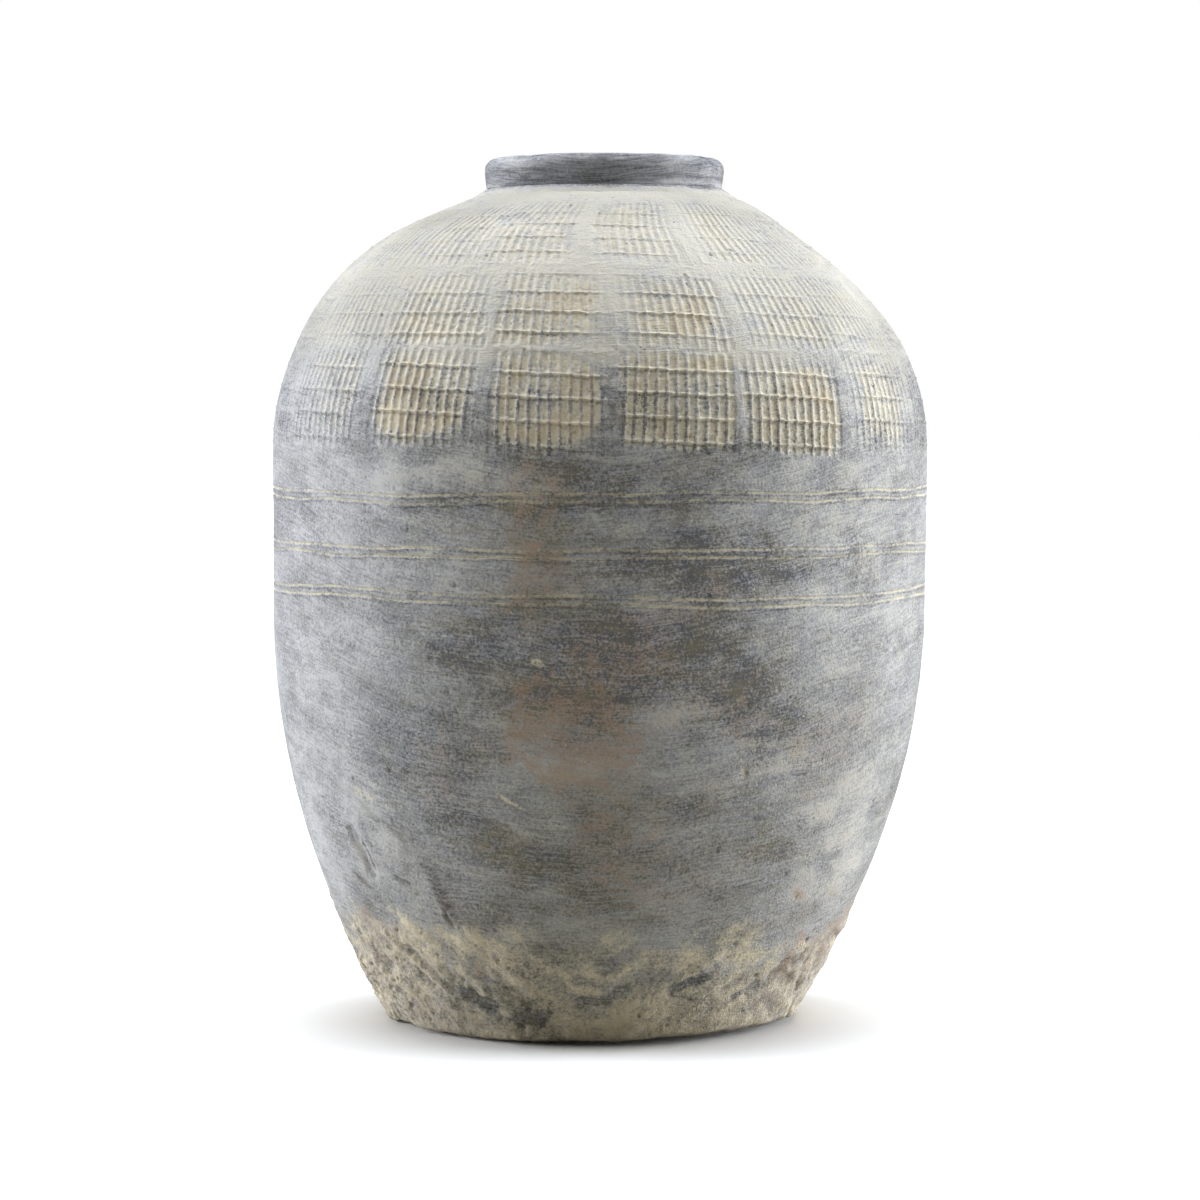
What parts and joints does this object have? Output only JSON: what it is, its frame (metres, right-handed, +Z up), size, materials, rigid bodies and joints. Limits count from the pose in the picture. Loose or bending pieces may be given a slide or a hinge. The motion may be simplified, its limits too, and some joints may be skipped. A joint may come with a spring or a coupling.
{
  "type": "concrete vase",
  "caption": "Round-bellied floor vase of hand-finished concrete with a stamped shoulder, scored belly lines, a short collar and a rough mortar foot, for dry or fresh stems.",
  "frame": {"origin": "on the floor, under the middle of the belly", "axes": "+Z up along the vase's height, +X to the right and -Y towards the viewer in the reference view"},
  "size_m": [0.35, 0.35, 0.46],
  "materials": {
    "concrete": "rubbed matte concrete with stamped and scored relief",
    "mortar": "matte pale jointing mortar",
    "foot_mortar": "rough hand-packed mortar, gouged and pitted",
    "sealer": "brushed cement slurry, low sheen"
  },
  "bodies": {
    "root": {"base_slab": "concrete", "base_mortar_bed": "mortar", "foot_band": "foot_mortar", "lower_body": "concrete", "belly_mortar_bed": "mortar", "shoulder": "concrete", "collar_mortar_bed": "mortar", "collar": "concrete", "waterproof_lining": "sealer"}
  },
  "joints": []
}
